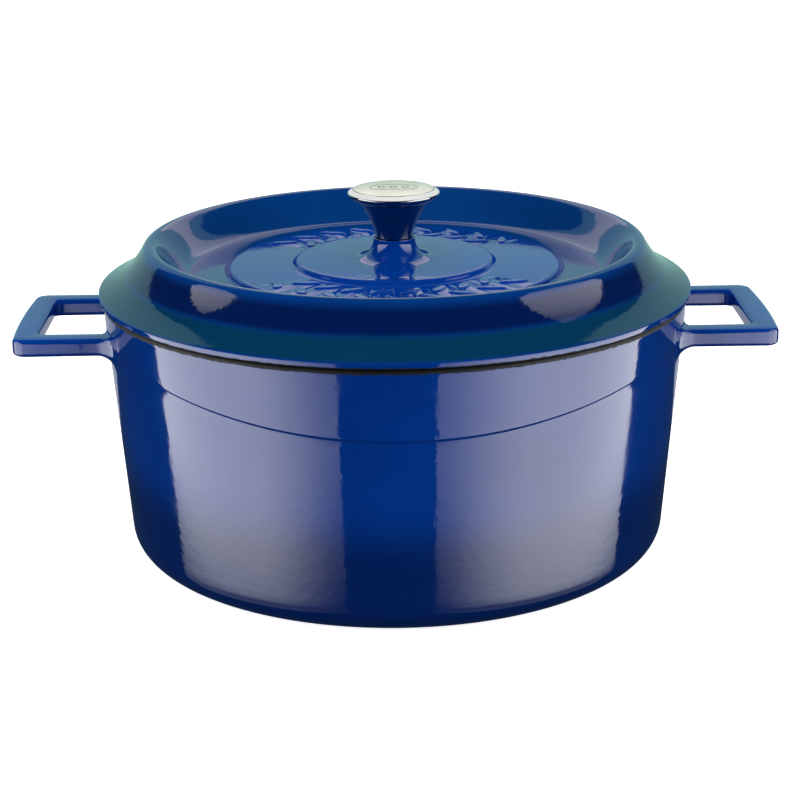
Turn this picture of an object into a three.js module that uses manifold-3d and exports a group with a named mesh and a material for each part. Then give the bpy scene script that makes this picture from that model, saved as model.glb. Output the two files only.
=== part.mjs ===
// A round dutch oven of enamelled cast iron: a pot with two loop handles cast on,
// and a loose lid whose metal knob is held by a screw from below.
// Millimetres, +Z up, +X from handle to handle. The origin is where the pot's axis meets the table.

import * as THREE from 'three';
import { mergeVertices } from 'three/addons/utils/BufferGeometryUtils.js';
import Module from 'manifold-3d';

const wasm = await Module();
wasm.setup();

// ---------------------------------------------------------------- driving dimensions

const FIT_GAP = 0.3; // left between pieces that touch

// Pot
const RIM_HEIGHT = 132; // top of the rim above the table
const RIM_RADIUS = 145.5; // outside of the wall at the rim
const WALL_LEAN = 0.08; // radius gained for each millimetre of height
const WALL = 3.6; // wall thickness at the foot
const RIM_LAND = 5; // width of the rim that the lid sits on
const RIM_ROUND = 2.2; // radius of the rim's outer corner
const FLOOR = 4.4; // thickness of the pot's floor
const FOOT_RADIUS = 15; // rounding from the floor into the wall
const SWAG_DEPTH = 34.5; // from the rim down to the lowest point of the swag line
const SWAG_RISE = 20; // how much the line climbs on its way to the handles
const SWAG_STEP = 0.7; // how far the wall above the line stands proud at its lowest point

// Handles
const HANDLE_STAND = 42.4; // from the wall out to the corners of the grip bar
const HANDLE_BULGE = 1.6; // how far the bar's outer edge bows out between its corners
const HANDLE_HALF_WIDTH = 44; // half the distance over both arms
const HANDLE_DROP = 13.2; // from the rim down to the handles' top face
const HANDLE_THICK = 8.8;
const BAR_WIDTH = 11.5; // of the grip bar, seen from above
const ARM_WIDTH = 12; // of each arm, seen from above
const HANDLE_CORNER = 6; // radius of the loop's outer corners
const GRIP_CORNER = 3.5; // radius of the finger gap's corners
const HANDLE_CHAMFER = 1.5; // on the loop's long edges
const ROOT_FILLET = 8; // under each arm, where it runs into the wall

// Lid, with heights measured from the face that sits on the rim
const LID_OVERHANG = 2; // the lid's edge past the rim
const EDGE_HEIGHT = 2.8; // the upright edge below the flange
const CREST_INSET = 26.2; // from the lid's edge in to the top of the ring crest
const CREST_HEIGHT = 25.5;
const CREST_ROUND = 4.2; // radius of the crest's top
const BASIN_WALL = 20; // from the crest's top in to where the basin's floor begins
const BASIN_HEIGHT = 9.2; // top face of the basin's floor
const BASIN_WIDTH = 18.9; // floor between the basin's wall and the platform
const PLATFORM_STEP = 2.9;
const PLATFORM_WIDTH = 33.4; // ring that carries the leaves
const PLATEAU_STEP = 2.6;
const LID_WALL = 3.6;
const RING_CLEARANCE = 1.2; // between the locating ring and the inside of the rim
const RING_DEPTH = 6; // of the locating ring below the lid's seat
const RING_WIDTH = 3;

// Boss, knob and fastening
const BOSS_HEIGHT = 10.4; // above the plateau
const BOSS_LIP = 0.8; // iron round the socket for the knob's foot
const BOSS_FLARE = 11.5; // how far the boss spreads at its foot
const SOCKET_CLEARANCE = 0.6; // round the knob's foot
const SOCKET_DEPTH = 1.2;
const POCKET_RADIUS = 10; // hollow under the boss that hides the screw head
const POCKET_ROOF = 5.7; // iron left between the pocket and the socket
const KNOB_HEIGHT = 25.5; // foot to the edge of the cap
const KNOB_FOOT_RADIUS = 9;
const HEAD_LIP = 2.9; // polished metal round the cap
const HEAD_UNDERCUT = 5.7; // from the head's widest point in to the neck
const CAP_RADIUS = 20;
const CAP_THICK = 1.2;
const CAP_DOME = 0.6;
const SCREW_RADIUS = 3; // M6
const SCREW_CLEARANCE = 0.4; // round the screw in every hole
const SCREW_REACH = 12; // length of thread in the knob
const HEAD_RADIUS = 5.4;
const HEAD_HEIGHT = 3.6;
const SLOT_WIDTH = 1.4;
const SLOT_DEPTH = 1.8;
const WASHER_RADIUS = 7.5;
const WASHER_THICK = 1.2;
const SPRING_RADIUS = 5.5;
const SPRING_THICK = 1.5;
const SPRING_SPLIT = 1;

// Drip studs under the lid, and raised leaves on the platform
const STUD_RADIUS = 3.2;
const STUD_HEIGHT = 3;
const STUD_PITCH = 27; // along each ring
const STUD_RING_SPACING = 21;
const LEAF_LENGTH = 15;
const LEAF_WIDTH = 6.5;
const LEAF_HEIGHT = 1.1;
const LEAF_OFFSET = 6; // from the garland's middle out or in to each leaf's middle
const LEAF_TILT = 0.75; // radians from the ring's own direction
const LEAF_PITCH = 7.5; // between leaves, along the ring
const GARLAND_ANGLE = 1.95; // radians covered in front, and again behind

// Facets
const CASTING_FACETS = 48;
const HARDWARE_FACETS = 32;
const STUD_FACETS = 6;

// ---------------------------------------------------------------- sizes that follow

const wallAngle = Math.atan(WALL_LEAN);
const wallRadius = (z) => RIM_RADIUS - WALL_LEAN * (RIM_HEIGHT - RIM_ROUND - z);
const rimInnerRadius = RIM_RADIUS - RIM_LAND;
const footInnerRadius = wallRadius(FOOT_RADIUS) - WALL;
const handleTop = RIM_HEIGHT - HANDLE_DROP;
const handleBottom = handleTop - HANDLE_THICK;
const handleReach = wallRadius(handleTop) + HANDLE_STAND;
const lidRadius = RIM_RADIUS + LID_OVERHANG;
const crestRadius = lidRadius - CREST_INSET;
const basinRadius = crestRadius - BASIN_WALL;
const platformRadius = basinRadius - BASIN_WIDTH;
const platformHeight = BASIN_HEIGHT + PLATFORM_STEP;
const plateauRadius = platformRadius - PLATFORM_WIDTH;
const plateauHeight = platformHeight + PLATEAU_STEP;
const socketRadius = KNOB_FOOT_RADIUS + SOCKET_CLEARANCE;
const bossRadius = socketRadius + BOSS_LIP;
const bossHeight = plateauHeight + BOSS_HEIGHT;
const socketHeight = bossHeight - SOCKET_DEPTH;
const pocketHeight = socketHeight - POCKET_ROOF;
const boreRadius = SCREW_RADIUS + SCREW_CLEARANCE;
const washerBottom = pocketHeight - FIT_GAP - WASHER_THICK;
const springBottom = washerBottom - FIT_GAP - SPRING_THICK;
const headTop = springBottom - FIT_GAP;
const knobFoot = socketHeight + FIT_GAP;
const knobRadius = CAP_RADIUS + HEAD_LIP;
const neckRadius = knobRadius - HEAD_UNDERCUT;

// ---------------------------------------------------------------- materials

const cobaltEnamel = new THREE.MeshStandardMaterial({ color: 0x0a3488, roughness: 0.15, metalness: 0 });
const polishedSteel = new THREE.MeshStandardMaterial({ color: 0xd4d6d8, roughness: 0.08, metalness: 1 });
const brushedSteel = new THREE.MeshStandardMaterial({ color: 0xc6cac4, roughness: 0.35, metalness: 1 });
const zincPlate = new THREE.MeshStandardMaterial({ color: 0xa9adb0, roughness: 0.4, metalness: 1 });
const springSteel = new THREE.MeshStandardMaterial({ color: 0x6f7276, roughness: 0.45, metalness: 1 });

// ---------------------------------------------------------------- solids and meshes

// Turns a three.js geometry into a solid that can be cut and joined.
function solidOf(geometry) {
  const bare = geometry.clone();
  bare.deleteAttribute('normal');
  bare.deleteAttribute('uv');
  const welded = mergeVertices(bare, 1e-4);
  const corners = welded.index.array;
  const kept = [];
  for (let i = 0; i < corners.length; i += 3) {
    const [a, b, c] = corners.slice(i, i + 3);
    if (a !== b && b !== c && c !== a) kept.push(a, b, c);
  }
  const mesh = new wasm.Mesh({
    numProp: 3,
    vertProperties: Float32Array.from(welded.attributes.position.array),
    triVerts: Uint32Array.from(kept),
  });
  return new wasm.Manifold(mesh);
}

// Turns a solid back into a named mesh.
function meshOf(name, solid, material) {
  const { vertProperties, triVerts } = solid.getMesh();
  const geometry = new THREE.BufferGeometry();
  geometry.setAttribute('position', new THREE.BufferAttribute(vertProperties, 3));
  geometry.setIndex(new THREE.BufferAttribute(triVerts, 1));
  geometry.computeVertexNormals();
  const mesh = new THREE.Mesh(geometry, material);
  mesh.name = name;
  return mesh;
}

// Revolves a profile, given as x = radius and y = height from bottom to top, about the Z axis.
function revolve(profile, facets) {
  const geometry = new THREE.LatheGeometry(profile, facets);
  geometry.rotateX(Math.PI / 2);
  return solidOf(geometry);
}

// Extrudes a shape drawn in the XY plane upwards from z = bottom.
function extrudeUp(shape, bottom, height, chamfer = 0, curveSegments = 6) {
  const geometry = new THREE.ExtrudeGeometry(shape, {
    depth: height - 2 * chamfer,
    bevelEnabled: chamfer > 0,
    bevelThickness: chamfer,
    bevelSize: chamfer,
    bevelOffset: -chamfer,
    bevelSegments: 1,
    curveSegments,
  });
  geometry.translate(0, 0, bottom + chamfer);
  return solidOf(geometry);
}

// Extrudes a shape drawn in the XZ plane along Y, from y = low to y = high.
function extrudeAcross(shape, low, high, curveSegments) {
  const geometry = new THREE.ExtrudeGeometry(shape, {
    depth: high - low,
    bevelEnabled: false,
    curveSegments,
  });
  geometry.rotateX(Math.PI / 2);
  geometry.translate(0, high, 0);
  return solidOf(geometry);
}

function joinAll(solids) {
  return solids.reduce((joined, solid) => joined.add(solid));
}

// ---------------------------------------------------------------- pot

// The pot's outside, as if it were solid iron.
function potOutside() {
  const arcCentre = wallRadius(FOOT_RADIUS) - FOOT_RADIUS / Math.cos(wallAngle);
  const outline = new THREE.Path();
  outline.moveTo(0, 0);
  outline.lineTo(arcCentre, 0);
  outline.absarc(arcCentre, FOOT_RADIUS, FOOT_RADIUS, -Math.PI / 2, -wallAngle);
  outline.absarc(RIM_RADIUS - RIM_ROUND, RIM_HEIGHT - RIM_ROUND, RIM_ROUND, -wallAngle, Math.PI / 2);
  outline.lineTo(0, RIM_HEIGHT);
  return revolve(outline.getPoints(3), CASTING_FACETS);
}

// The space inside the pot, which runs on past the rim so that the cut is clean.
function potInside() {
  const past = 5;
  const arcRadius = FOOT_RADIUS - WALL;
  const lean = (rimInnerRadius - footInnerRadius) / (RIM_HEIGHT - FOOT_RADIUS);
  const outline = new THREE.Path();
  outline.moveTo(0, FLOOR);
  outline.lineTo(footInnerRadius - arcRadius, FLOOR);
  outline.absarc(footInnerRadius - arcRadius, FLOOR + arcRadius, arcRadius, -Math.PI / 2, 0);
  outline.lineTo(rimInnerRadius + lean * past, RIM_HEIGHT + past);
  outline.lineTo(0, RIM_HEIGHT + past);
  return revolve(outline.getPoints(3), CASTING_FACETS);
}

// The upper wall stands proud of the lower one, down to a line that hangs like a swag
// between the handles: a parabola when seen from the front.
function swagBand() {
  const low = RIM_HEIGHT - SWAG_DEPTH;
  const shoulder = RIM_HEIGHT - RIM_ROUND;
  const below = 1;
  const sunk = 1.5;
  const flush = 0.05;
  const ring = revolve(
    [
      new THREE.Vector2(wallRadius(low) - sunk, low - below),
      new THREE.Vector2(wallRadius(low - below) + SWAG_STEP, low - below),
      new THREE.Vector2(wallRadius(shoulder) - flush, shoulder),
      new THREE.Vector2(wallRadius(low) - sunk, shoulder),
      new THREE.Vector2(wallRadius(low) - sunk, low - below),
    ],
    CASTING_FACETS,
  );
  const reach = RIM_RADIUS + SWAG_STEP;
  const aboveLine = new THREE.Shape();
  aboveLine.moveTo(-reach, low + SWAG_RISE);
  aboveLine.quadraticCurveTo(0, low - SWAG_RISE, reach, low + SWAG_RISE);
  aboveLine.lineTo(reach, RIM_HEIGHT);
  aboveLine.lineTo(-reach, RIM_HEIGHT);
  return ring.intersect(extrudeAcross(aboveLine, -reach, reach, 20));
}

// The loop on the +X side, drawn from above as a U whose open ends are sunk in the wall.
function handleLoop() {
  const root = Math.sqrt(footInnerRadius ** 2 - HANDLE_HALF_WIDTH ** 2) - WALL;
  const corner = handleReach - HANDLE_CORNER;
  const gapEnd = handleReach - BAR_WIDTH;
  const gapHalf = HANDLE_HALF_WIDTH - ARM_WIDTH;
  const gapCorner = gapEnd - GRIP_CORNER;
  const loop = new THREE.Shape();
  loop.moveTo(root, -HANDLE_HALF_WIDTH);
  loop.lineTo(corner, -HANDLE_HALF_WIDTH);
  loop.absarc(corner, HANDLE_CORNER - HANDLE_HALF_WIDTH, HANDLE_CORNER, -Math.PI / 2, 0);
  loop.quadraticCurveTo(
    handleReach + 2 * HANDLE_BULGE,
    0,
    handleReach,
    HANDLE_HALF_WIDTH - HANDLE_CORNER,
  );
  loop.absarc(corner, HANDLE_HALF_WIDTH - HANDLE_CORNER, HANDLE_CORNER, 0, Math.PI / 2);
  loop.lineTo(root, HANDLE_HALF_WIDTH);
  loop.lineTo(root, gapHalf);
  loop.lineTo(gapCorner, gapHalf);
  loop.absarc(gapCorner, gapHalf - GRIP_CORNER, GRIP_CORNER, Math.PI / 2, 0, true);
  loop.lineTo(gapEnd, GRIP_CORNER - gapHalf);
  loop.absarc(gapCorner, GRIP_CORNER - gapHalf, GRIP_CORNER, 0, -Math.PI / 2, true);
  loop.lineTo(root, -gapHalf);
  return extrudeUp(loop, handleBottom, HANDLE_THICK, HANDLE_CHAMFER, 3);
}

// A hollow-sided wedge under one arm, which carries the arm's underside down into the wall.
function armFillet(armCentre) {
  const outerSide = Math.abs(armCentre) + ARM_WIDTH / 2;
  const wall = Math.sqrt(wallRadius(handleBottom) ** 2 - outerSide ** 2);
  const lap = HANDLE_THICK / 2;
  const wedge = new THREE.Shape();
  wedge.moveTo(wall - lap, handleBottom + lap);
  wedge.lineTo(wall - lap, handleBottom - ROOT_FILLET);
  wedge.lineTo(wall, handleBottom - ROOT_FILLET);
  wedge.absarc(
    wall + ROOT_FILLET,
    handleBottom - ROOT_FILLET,
    ROOT_FILLET,
    Math.PI,
    Math.PI / 2,
    true,
  );
  wedge.lineTo(wall + ROOT_FILLET, handleBottom + lap);
  wedge.closePath();
  const half = ARM_WIDTH / 2 - HANDLE_CHAMFER;
  return extrudeAcross(wedge, armCentre - half, armCentre + half, 4);
}

function makePot() {
  const armCentre = HANDLE_HALF_WIDTH - ARM_WIDTH / 2;
  const rightHandle = joinAll([handleLoop(), armFillet(armCentre), armFillet(-armCentre)]);
  const leftHandle = rightHandle.rotate([0, 0, 180]);
  const iron = joinAll([potOutside(), swagBand(), rightHandle, leftHandle]);
  return meshOf('pot', iron.subtract(potInside()), cobaltEnamel);
}

// ---------------------------------------------------------------- lid

// The lid's section, from the axis along the underside to the edge and back over the top.
function lidSection() {
  const ringOuter = rimInnerRadius - RING_CLEARANCE;
  const ringInner = ringOuter - RING_WIDTH;
  const crestCentre = CREST_HEIGHT - CREST_ROUND;
  const flankTop = new THREE.Vector2(CREST_ROUND, 0).rotateAround(new THREE.Vector2(), Math.PI / 5);
  const basinTop = new THREE.Vector2(-CREST_ROUND, 0).rotateAround(new THREE.Vector2(), -Math.PI / 4);
  const pan = BASIN_HEIGHT - LID_WALL;
  const web = platformHeight - LID_WALL;
  const hub = plateauHeight - LID_WALL;
  const soft = 0.8;
  const s = new THREE.Path();
  // underside
  s.moveTo(boreRadius, pocketHeight);
  s.lineTo(POCKET_RADIUS, pocketHeight);
  s.lineTo(POCKET_RADIUS, hub);
  s.lineTo(plateauRadius - LID_WALL, hub);
  s.lineTo(plateauRadius, web);
  s.lineTo(platformRadius - LID_WALL, web);
  s.lineTo(platformRadius, pan);
  s.lineTo(basinRadius, pan);
  s.lineTo(crestRadius - CREST_ROUND, crestCentre - LID_WALL);
  s.lineTo(crestRadius, CREST_HEIGHT - LID_WALL);
  s.lineTo(crestRadius + CREST_ROUND, crestCentre - LID_WALL);
  s.lineTo(ringInner, EDGE_HEIGHT);
  s.lineTo(ringInner, -RING_DEPTH);
  s.lineTo(ringOuter, -RING_DEPTH);
  s.lineTo(ringOuter, 0);
  s.lineTo(lidRadius - soft, 0);
  // edge and flange, sweeping up the flank to the crest
  s.lineTo(lidRadius, soft);
  s.lineTo(lidRadius, EDGE_HEIGHT);
  s.bezierCurveTo(
    lidRadius - CREST_INSET * 0.45,
    EDGE_HEIGHT + CREST_HEIGHT * 0.22,
    crestRadius + CREST_INSET * 0.38,
    crestCentre - CREST_HEIGHT * 0.36,
    crestRadius + flankTop.x,
    crestCentre + flankTop.y,
  );
  s.absarc(crestRadius, crestCentre, CREST_ROUND, Math.PI / 5, (Math.PI * 3) / 4);
  // down into the basin, then up the platform and the plateau
  s.bezierCurveTo(
    crestRadius + basinTop.x - (BASIN_WALL - CREST_ROUND) * 0.45,
    crestCentre + basinTop.y - CREST_HEIGHT * 0.3,
    basinRadius + (BASIN_WALL - CREST_ROUND) * 0.4,
    BASIN_HEIGHT,
    basinRadius,
    BASIN_HEIGHT,
  );
  s.lineTo(platformRadius + soft, BASIN_HEIGHT);
  s.lineTo(platformRadius, platformHeight);
  s.lineTo(plateauRadius + soft, platformHeight);
  s.lineTo(plateauRadius, plateauHeight);
  // boss with its flared foot and the socket for the knob
  s.lineTo(bossRadius + BOSS_FLARE, plateauHeight);
  s.quadraticCurveTo(bossRadius, plateauHeight, bossRadius, bossHeight);
  s.lineTo(socketRadius, bossHeight);
  s.lineTo(socketRadius, socketHeight);
  s.lineTo(boreRadius, socketHeight);
  s.lineTo(boreRadius, pocketHeight);
  return s.getPoints(4);
}

// Rings of short tapered studs on the underside, where steam gathers and drips.
function dripStuds() {
  const studs = [];
  const first = POCKET_RADIUS + STUD_RING_SPACING;
  for (let ring = first; ring < basinRadius - STUD_RING_SPACING / 2; ring += STUD_RING_SPACING) {
    const count = Math.round((2 * Math.PI * ring) / STUD_PITCH);
    const under = (ring > plateauRadius ? platformHeight : plateauHeight) - LID_WALL;
    for (let i = 0; i < count; i += 1) {
      const angle = (2 * Math.PI * (i + 0.5)) / count;
      const stud = new THREE.CylinderGeometry(
        STUD_RADIUS,
        STUD_RADIUS / 2,
        STUD_HEIGHT + LID_WALL / 2,
        STUD_FACETS,
      );
      stud.rotateX(Math.PI / 2);
      stud.translate(
        ring * Math.cos(angle),
        ring * Math.sin(angle),
        under + LID_WALL / 4 - STUD_HEIGHT / 2,
      );
      studs.push(solidOf(stud));
    }
  }
  return joinAll(studs);
}

// One raised leaf, pointed at both ends, lying along +X with its middle at the origin.
function leafShape() {
  const leaf = new THREE.Shape();
  leaf.moveTo(-LEAF_LENGTH / 2, 0);
  leaf.quadraticCurveTo(0, -LEAF_WIDTH, LEAF_LENGTH / 2, 0);
  leaf.quadraticCurveTo(0, LEAF_WIDTH, -LEAF_LENGTH / 2, 0);
  return leaf;
}

// Two garlands on the platform, one in front and one behind, whose leaves
// point alternately outwards and inwards.
function garlands() {
  const middle = platformRadius - PLATFORM_WIDTH / 2;
  const sunk = 0.6;
  const step = LEAF_PITCH / middle;
  const count = Math.floor(GARLAND_ANGLE / step);
  const leaf = extrudeUp(leafShape(), platformHeight - sunk, LEAF_HEIGHT + sunk, 0, 3);
  const leaves = [];
  for (const side of [-1, 1]) {
    for (let i = 0; i < count; i += 1) {
      const around = (side * Math.PI) / 2 + (i - (count - 1) / 2) * step;
      const way = i % 2 === 0 ? 1 : -1;
      const radius = middle + way * LEAF_OFFSET;
      const facing = around + Math.PI / 2 - way * LEAF_TILT;
      const turned = leaf.rotate([0, 0, THREE.MathUtils.radToDeg(facing)]);
      leaves.push(turned.translate([radius * Math.cos(around), radius * Math.sin(around), 0]));
    }
  }
  return joinAll(leaves);
}

function makeLid() {
  const iron = joinAll([revolve(lidSection(), CASTING_FACETS), dripStuds(), garlands()]);
  return meshOf('lid', iron, cobaltEnamel);
}

// ---------------------------------------------------------------- knob and its fastening

function makeKnob() {
  const top = knobFoot + KNOB_HEIGHT;
  const recess = top - CAP_THICK - FIT_GAP;
  const lip = 3; // height of the head's rounded rim
  const blindEnd = knobFoot + SCREW_REACH + 2;
  const outline = new THREE.Path();
  outline.moveTo(0, blindEnd);
  outline.lineTo(boreRadius, blindEnd);
  outline.lineTo(boreRadius, knobFoot);
  outline.lineTo(KNOB_FOOT_RADIUS, knobFoot);
  outline.bezierCurveTo(
    KNOB_FOOT_RADIUS + 1,
    knobFoot + KNOB_HEIGHT * 0.35,
    neckRadius - 5,
    knobFoot + KNOB_HEIGHT * 0.5,
    neckRadius,
    knobFoot + KNOB_HEIGHT * 0.75,
  );
  outline.lineTo(knobRadius - 0.6, top - lip);
  outline.quadraticCurveTo(knobRadius + 0.6, top - lip / 2, CAP_RADIUS + 1.2, top - 0.1);
  outline.lineTo(CAP_RADIUS + FIT_GAP, top - 0.1);
  outline.lineTo(CAP_RADIUS + FIT_GAP, recess);
  outline.lineTo(0, recess);
  return meshOf('knob', revolve(outline.getPoints(5), HARDWARE_FACETS), polishedSteel);
}

function makeKnobCap() {
  const edge = knobFoot + KNOB_HEIGHT;
  const outline = new THREE.Path();
  outline.moveTo(0, edge - CAP_THICK);
  outline.lineTo(CAP_RADIUS, edge - CAP_THICK);
  outline.lineTo(CAP_RADIUS, edge);
  outline.quadraticCurveTo(CAP_RADIUS / 2, edge + CAP_DOME, 0, edge + CAP_DOME);
  return meshOf('knob_cap', revolve(outline.getPoints(3), HARDWARE_FACETS), brushedSteel);
}

function makeKnobScrew() {
  const soft = 0.8;
  const tip = knobFoot + SCREW_REACH;
  const outline = new THREE.Path();
  outline.moveTo(0, headTop - HEAD_HEIGHT);
  outline.lineTo(HEAD_RADIUS - soft, headTop - HEAD_HEIGHT);
  outline.lineTo(HEAD_RADIUS, headTop - HEAD_HEIGHT + soft);
  outline.lineTo(HEAD_RADIUS, headTop);
  outline.lineTo(SCREW_RADIUS, headTop);
  outline.lineTo(SCREW_RADIUS, tip - soft);
  outline.lineTo(SCREW_RADIUS - soft, tip);
  outline.lineTo(0, tip);
  const slot = new THREE.BoxGeometry(3 * HEAD_RADIUS, SLOT_WIDTH, 2 * SLOT_DEPTH);
  slot.translate(0, 0, headTop - HEAD_HEIGHT);
  const blank = revolve(outline.getPoints(1), HARDWARE_FACETS);
  return meshOf('knob_screw', blank.subtract(solidOf(slot)), zincPlate);
}

// A flat ring with square edges.
function ringBlank(outerRadius, bottom, thickness) {
  const outline = new THREE.Path();
  outline.moveTo(boreRadius, bottom);
  outline.lineTo(outerRadius, bottom);
  outline.lineTo(outerRadius, bottom + thickness);
  outline.lineTo(boreRadius, bottom + thickness);
  outline.closePath();
  return revolve(outline.getPoints(1), HARDWARE_FACETS);
}

function makeFlatWasher() {
  return meshOf('flat_washer', ringBlank(WASHER_RADIUS, washerBottom, WASHER_THICK), zincPlate);
}

// The spring washer is the same ring, split once.
function makeSpringWasher() {
  const split = new THREE.BoxGeometry(2 * SPRING_RADIUS, SPRING_SPLIT, 4 * SPRING_THICK);
  split.translate(SPRING_RADIUS, 0, springBottom);
  const ring = ringBlank(SPRING_RADIUS, springBottom, SPRING_THICK);
  return meshOf('spring_washer', ring.subtract(solidOf(split)), springSteel);
}

// ---------------------------------------------------------------- assembly

const lidAssembly = new THREE.Group();
lidAssembly.add(makeLid());
lidAssembly.add(makeKnob());
lidAssembly.add(makeKnobCap());
lidAssembly.add(makeKnobScrew());
lidAssembly.add(makeFlatWasher());
lidAssembly.add(makeSpringWasher());
lidAssembly.position.z = RIM_HEIGHT + FIT_GAP;

const dutchOven = new THREE.Group();
dutchOven.add(makePot());
dutchOven.add(lidAssembly);

export default dutchOven;
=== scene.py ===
# %% [markdown]
# # A cast iron dutch oven in cobalt blue enamel
# The real oven is two iron castings, a pot and a lid, each dipped and fired in glass enamel:
# glossy cobalt outside, matt black inside and on the rim. A turned steel knob is held on the
# lid by a screw from below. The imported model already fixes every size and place, so this
# lesson only remakes each piece with finer curves and real finishes, inside the same box.

# %% Load the frame
import math

import bmesh
import bpy
import numpy as np
from mathutils import Matrix, Vector


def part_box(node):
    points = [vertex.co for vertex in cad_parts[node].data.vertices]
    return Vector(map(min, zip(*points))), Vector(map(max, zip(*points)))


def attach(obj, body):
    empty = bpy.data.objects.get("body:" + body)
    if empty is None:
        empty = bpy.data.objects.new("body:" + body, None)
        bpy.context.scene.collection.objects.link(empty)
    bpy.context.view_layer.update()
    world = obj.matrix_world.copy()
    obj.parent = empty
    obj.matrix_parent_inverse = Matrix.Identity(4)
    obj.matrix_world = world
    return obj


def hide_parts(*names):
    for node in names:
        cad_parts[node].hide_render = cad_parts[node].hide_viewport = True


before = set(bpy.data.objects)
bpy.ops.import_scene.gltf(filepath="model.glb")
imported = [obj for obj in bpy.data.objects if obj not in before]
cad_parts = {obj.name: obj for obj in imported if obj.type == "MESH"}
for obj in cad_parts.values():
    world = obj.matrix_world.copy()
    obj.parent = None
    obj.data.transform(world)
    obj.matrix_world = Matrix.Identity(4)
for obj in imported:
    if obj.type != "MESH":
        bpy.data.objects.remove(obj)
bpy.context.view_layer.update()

print("nodes:", sorted(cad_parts))

# %% [markdown]
# ## Sizes
# A maker's drawing is in millimetres and Blender works in metres, so one factor joins the
# two. The driving sizes are read from the frame's own boxes. What a box can't tell, such as
# the lean of a wall or the radius of a corner, is named here as on the drawing.

# %% Sizes read from the frame, in millimetres
MM = 0.001


def box_mm(node):
    low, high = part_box(node)
    return low / MM, high / MM


pot_high = box_mm("pot")[1]
lid_low, lid_high = box_mm("lid")
knob_low = box_mm("knob")[0]
cap_low, cap_high = box_mm("knob_cap")
screw_low, screw_high = box_mm("knob_screw")
washer_low, washer_high = box_mm("flat_washer")
spring_low, spring_high = box_mm("spring_washer")

rim_height = pot_high.z
rim_radius = pot_high.y
handle_reach = pot_high.x
lid_radius = lid_high.x
print(f"pot {2 * rim_radius:.1f} across the rim, {2 * handle_reach:.1f} over the handles")
print(f"lid {2 * lid_radius:.1f} across, object {cap_high.z:.1f} high")

# %% [markdown]
# ## Outlines
# Everything round here was turned, pressed or cast from a turned pattern, so it starts as
# half a section. A section is a list of corners, and each corner says how much of it is
# rounded away. That keeps the lists short, and the rounding gives every edge the soft
# highlight that fired enamel has, because glass can't hold a sharp corner.

# %% Helpers for outlines


def along_curve(start, first, second, end, steps):
    """Points on a Bezier curve, without its two ends."""
    start, first, second, end = np.array([start, first, second, end])
    points = []
    for i in range(1, steps):
        t = i / steps
        s = 1 - t
        spot = s**3 * start + 3 * s * s * t * first + 3 * s * t * t * second + t**3 * end
        points.append(tuple(spot))
    return points


def along_arc(centre, radius, start, end, steps):
    """Points on an arc, ends included, with angles in degrees."""
    points = []
    for i in range(steps + 1):
        angle = math.radians(start + (end - start) * i / steps)
        points.append((centre[0] + radius * math.cos(angle), centre[1] + radius * math.sin(angle)))
    return points


def soften(corners, steps=5, closed=False):
    """Rounds each corner (radius, height, rounding); a corner without rounding stays."""
    points = []
    count = len(corners)
    for i, corner in enumerate(corners):
        here = Vector(corner[:2])
        cut = corner[2] if len(corner) > 2 else 0
        end_point = not closed and i in (0, count - 1)
        if cut == 0 or end_point:
            points.append(tuple(here))
            continue
        before = Vector(corners[i - 1][:2]) - here
        after = Vector(corners[(i + 1) % count][:2]) - here
        start = here + before.normalized() * min(cut, before.length / 2)
        end = here + after.normalized() * min(cut, after.length / 2)
        for k in range(steps + 1):
            t = k / steps
            points.append(tuple(start * (1 - t) ** 2 + here * 2 * t * (1 - t) + end * t * t))
    return points


# %% Helpers for meshes


def mesh_object(name, points, faces):
    """Makes an object from points in millimetres, with all its faces pointing outwards."""
    mesh = bpy.data.meshes.new(name)
    mesh.from_pydata([Vector(p) * MM for p in points], [], faces)
    piece = bpy.data.objects.new(name, mesh)
    bpy.context.scene.collection.objects.link(piece)
    shape = bmesh.new()
    shape.from_mesh(mesh)
    bmesh.ops.recalc_face_normals(shape, faces=shape.faces)
    shape.to_mesh(mesh)
    shape.free()
    return piece


def turn(name, section, segments, closed=False):
    """Turns a section about Z. The section is a list, or a function of the angle."""
    points = []
    rings = []
    for i in range(segments):
        angle = 2 * math.pi * i / segments
        profile = section(angle) if callable(section) else section
        for k, (radius, height) in enumerate(profile):
            if i == 0:
                rings.append([])
            if radius < 1e-6 and i > 0:
                rings[k].append(rings[k][0])
                continue
            rings[k].append(len(points))
            points.append((radius * math.cos(angle), radius * math.sin(angle), height))
    faces = []
    pairs = list(zip(rings, rings[1:]))
    if closed:
        pairs.append((rings[-1], rings[0]))
    for lower, upper in pairs:
        for i in range(segments):
            j = (i + 1) % segments
            corners = [lower[i], lower[j], upper[j], upper[i]]
            faces.append(list(dict.fromkeys(corners)))
    return mesh_object(name, points, faces)


def loft(name, sections, closed=False):
    """Joins equal rings of points one after the other; open ends are closed with a face."""
    size = len(sections[0])
    points = [p for section in sections for p in section]
    pairs = list(zip(range(len(sections)), range(1, len(sections))))
    if closed:
        pairs.append((len(sections) - 1, 0))
    faces = []
    for a, b in pairs:
        for i in range(size):
            j = (i + 1) % size
            faces.append([a * size + i, a * size + j, b * size + j, b * size + i])
    if not closed:
        faces.append(list(range(size)))
        faces.append(list(range(len(points) - size, len(points))))
    return mesh_object(name, points, faces)


def plain_mesh(piece):
    """Turns a piece with modifiers into a plain mesh and takes the modifiers off."""
    graph = bpy.context.evaluated_depsgraph_get()
    mesh = bpy.data.meshes.new_from_object(piece.evaluated_get(graph))
    piece.modifiers.clear()
    piece.data = mesh


def combine(piece, tool, operation):
    """Joins a tool to a piece or cuts it away, and removes the tool."""
    modifier = piece.modifiers.new("combine", "BOOLEAN")
    modifier.operation = operation
    modifier.solver = "MANIFOLD"
    modifier.object = tool
    plain_mesh(piece)
    bpy.data.objects.remove(tool)


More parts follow.
